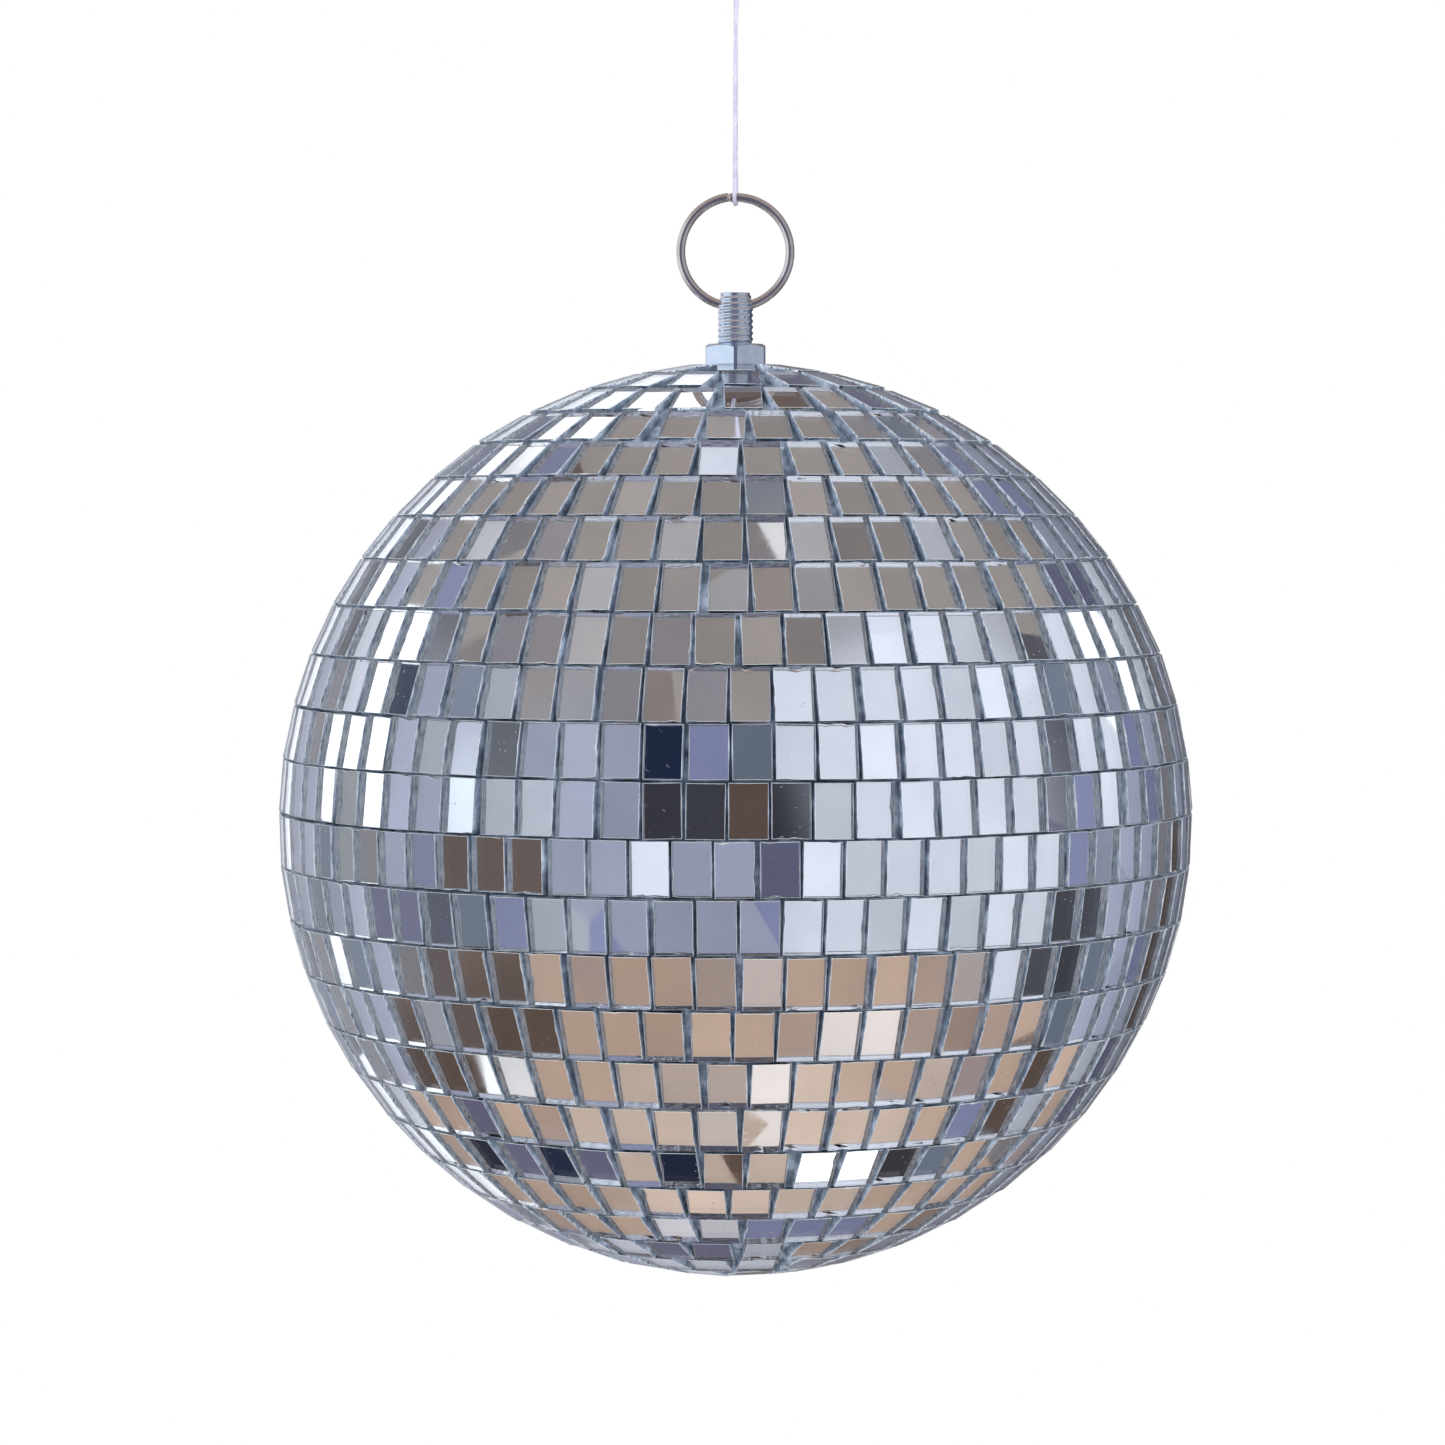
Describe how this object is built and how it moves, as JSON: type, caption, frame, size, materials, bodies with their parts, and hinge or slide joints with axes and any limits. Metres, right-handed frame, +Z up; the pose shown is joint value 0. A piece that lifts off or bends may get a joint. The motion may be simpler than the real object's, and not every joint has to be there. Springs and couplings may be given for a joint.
{
  "type": "mirror ball",
  "caption": "Mirror ball of silvered glass tiles on a hollow plastic core, hung by a threaded stud and wire ring from a nylon line and a ceiling hook.",
  "frame": {"origin": "foot of the hook's screw, on the collar's ceiling face", "axes": "+Z up along the line and the stud's axis; the ring lies in the XZ plane and the stud's cross hole runs along X; -Y is the front"},
  "size_m": [0.1523, 0.1523, 0.269],
  "materials": {
    "mirror_glass": "clear glass, silvered and painted on the back, with ground edges",
    "adhesive": "grey-blue adhesive film",
    "core_plastic": "moulded, fine texture",
    "zinc_steel": "bright zinc plate with a faint blue cast",
    "nickel_wire": "nickel plated wire, warm grey",
    "nylon_line": "translucent nylon monofilament",
    "hook_steel": "nickel plated"
  },
  "bodies": {
    "hanger": {"ceiling_hook": "hook_steel", "line_upper": "nylon_line", "upper_knot": "nylon_line"},
    "line": {"line_lower": "nylon_line", "lower_knot": "nylon_line"},
    "ring": {"ring": "nickel_wire"},
    "ball": {"core_upper": "core_plastic", "core_lower": "core_plastic", "adhesive_bed": "adhesive", "tile_row_01": "mirror_glass", "tile_row_02": "mirror_glass", "tile_row_03": "mirror_glass", "tile_row_04": "mirror_glass", "tile_row_05": "mirror_glass", "tile_row_06": "mirror_glass", "tile_row_07": "mirror_glass", "tile_row_08": "mirror_glass", "tile_row_09": "mirror_glass", "tile_row_10": "mirror_glass", "tile_row_11": "mirror_glass", "tile_row_12": "mirror_glass", "tile_row_13": "mirror_glass", "tile_row_14": "mirror_glass", "tile_row_15": "mirror_glass", "tile_row_16": "mirror_glass", "tile_row_17": "mirror_glass", "tile_row_18": "mirror_glass", "tile_row_19": "mirror_glass", "tile_row_20": "mirror_glass", "tile_row_21": "mirror_glass", "tile_row_22": "mirror_glass", "tile_row_23": "mirror_glass", "tile_row_24": "mirror_glass", "tile_row_25": "mirror_glass", "pole_tile": "mirror_glass", "stud": "zinc_steel", "outer_nut": "zinc_steel", "inner_washer": "zinc_steel", "spring_washer": "zinc_steel", "inner_nut": "zinc_steel"}
  },
  "joints": [
    {"name": "line_twist", "type": "hinge", "parent": "hanger", "child": "line", "pos_m": [0, 0, -0.032], "axis": [0, 0, 1], "continuous": true},
    {"name": "ring_turn", "type": "hinge", "parent": "line", "child": "ring", "pos_m": [0, 0, -0.0835], "axis": [0, 1, 0], "range_deg": [-90, 90]},
    {"name": "ball_swing", "type": "hinge", "parent": "ring", "child": "ball", "pos_m": [0, 0, -0.0926], "axis": [1, 0, 0], "range_deg": [-90, 90]}
  ]
}
